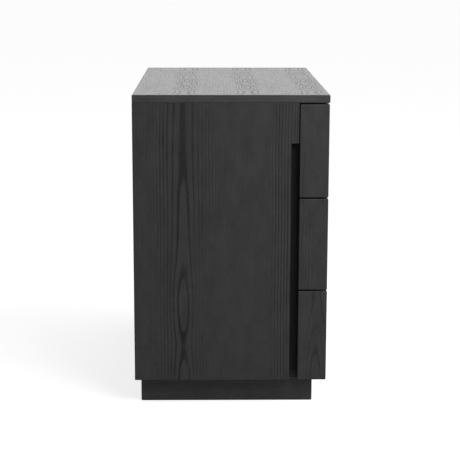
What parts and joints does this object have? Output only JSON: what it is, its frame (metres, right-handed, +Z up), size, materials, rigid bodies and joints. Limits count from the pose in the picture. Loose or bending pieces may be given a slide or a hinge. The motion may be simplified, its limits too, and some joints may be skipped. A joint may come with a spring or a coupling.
{
  "type": "nightstand with drawers",
  "caption": "Low rectangular bedside cabinet with stacked full-width drawers, mitred drawer ends, a finger slot in each side and a recessed plinth.",
  "frame": {"origin": "on the floor, below the middle of the top", "axes": "+Z up, -Y towards the drawer fronts, +X to the right-hand side of a person who stands in front and faces the drawers"},
  "size_m": [0.76, 0.446, 0.726],
  "materials": {
    "black_ash": "black-stained open-pore ash veneer under a thin satin lacquer",
    "drawer_front_ash": "black-stained open-pore ash veneer under a thin satin lacquer, grain upright",
    "carcass_inside_wood": "matt black-stained board",
    "drawer_box_wood": "matt black-stained solid wood",
    "zinc_steel": "zinc-plated rolled steel"
  },
  "bodies": {
    "root": {"back_panel": "carcass_inside_wood", "bottom_drawer_left_cabinet_slide": "zinc_steel", "bottom_drawer_right_cabinet_slide": "zinc_steel", "bottom_panel": "carcass_inside_wood", "left_inner_liner": "carcass_inside_wood", "left_side_panel": "black_ash", "middle_drawer_left_cabinet_slide": "zinc_steel", "middle_drawer_right_cabinet_slide": "zinc_steel", "plinth_back_rail": "black_ash", "plinth_front_rail": "black_ash", "plinth_left_back_block": "carcass_inside_wood", "plinth_left_front_block": "carcass_inside_wood", "plinth_left_rail": "black_ash", "plinth_right_back_block": "carcass_inside_wood", "plinth_right_front_block": "carcass_inside_wood", "plinth_right_rail": "black_ash", "right_inner_liner": "carcass_inside_wood", "right_side_panel": "black_ash", "top_back_rail": "carcass_inside_wood", "top_drawer_left_cabinet_slide": "zinc_steel", "top_drawer_right_cabinet_slide": "zinc_steel", "top_front_rail": "carcass_inside_wood", "top_panel": "black_ash"},
    "bottom_drawer": {"bottom_drawer_box_back": "drawer_box_wood", "bottom_drawer_box_bottom": "drawer_box_wood", "bottom_drawer_box_front": "drawer_box_wood", "bottom_drawer_box_left": "drawer_box_wood", "bottom_drawer_box_right": "drawer_box_wood", "bottom_drawer_front": "drawer_front_ash", "bottom_drawer_left_drawer_slide": "zinc_steel", "bottom_drawer_left_return": "drawer_front_ash", "bottom_drawer_right_drawer_slide": "zinc_steel", "bottom_drawer_right_return": "drawer_front_ash"},
    "bottom_drawer_middle_slides": {"bottom_drawer_left_middle_slide": "zinc_steel", "bottom_drawer_right_middle_slide": "zinc_steel"},
    "middle_drawer": {"middle_drawer_box_back": "drawer_box_wood", "middle_drawer_box_bottom": "drawer_box_wood", "middle_drawer_box_front": "drawer_box_wood", "middle_drawer_box_left": "drawer_box_wood", "middle_drawer_box_right": "drawer_box_wood", "middle_drawer_front": "drawer_front_ash", "middle_drawer_left_drawer_slide": "zinc_steel", "middle_drawer_left_return": "drawer_front_ash", "middle_drawer_right_drawer_slide": "zinc_steel", "middle_drawer_right_return": "drawer_front_ash"},
    "middle_drawer_middle_slides": {"middle_drawer_left_middle_slide": "zinc_steel", "middle_drawer_right_middle_slide": "zinc_steel"},
    "top_drawer": {"top_drawer_box_back": "drawer_box_wood", "top_drawer_box_bottom": "drawer_box_wood", "top_drawer_box_front": "drawer_box_wood", "top_drawer_box_left": "drawer_box_wood", "top_drawer_box_right": "drawer_box_wood", "top_drawer_front": "drawer_front_ash", "top_drawer_left_drawer_slide": "zinc_steel", "top_drawer_left_return": "drawer_front_ash", "top_drawer_right_drawer_slide": "zinc_steel", "top_drawer_right_return": "drawer_front_ash"},
    "top_drawer_middle_slides": {"top_drawer_left_middle_slide": "zinc_steel", "top_drawer_right_middle_slide": "zinc_steel"}
  },
  "joints": [
    {"name": "bottom_drawer_travel", "type": "slide", "parent": "root", "child": "bottom_drawer", "axis": [0, -1, 0], "range_m": [0, 0.3]},
    {"name": "bottom_drawer_middle_slide_travel", "type": "slide", "parent": "root", "child": "bottom_drawer_middle_slides", "axis": [0, -1, 0], "range_m": [0, 0.15]},
    {"name": "middle_drawer_travel", "type": "slide", "parent": "root", "child": "middle_drawer", "axis": [0, -1, 0], "range_m": [0, 0.3]},
    {"name": "middle_drawer_middle_slide_travel", "type": "slide", "parent": "root", "child": "middle_drawer_middle_slides", "axis": [0, -1, 0], "range_m": [0, 0.15]},
    {"name": "top_drawer_travel", "type": "slide", "parent": "root", "child": "top_drawer", "axis": [0, -1, 0], "range_m": [0, 0.3]},
    {"name": "top_drawer_middle_slide_travel", "type": "slide", "parent": "root", "child": "top_drawer_middle_slides", "axis": [0, -1, 0], "range_m": [0, 0.15]}
  ],
  "couplings": [
    {"joint": "bottom_drawer_middle_slide_travel", "follows": "bottom_drawer_travel", "ratio": 0.5},
    {"joint": "middle_drawer_middle_slide_travel", "follows": "middle_drawer_travel", "ratio": 0.5},
    {"joint": "top_drawer_middle_slide_travel", "follows": "top_drawer_travel", "ratio": 0.5}
  ]
}
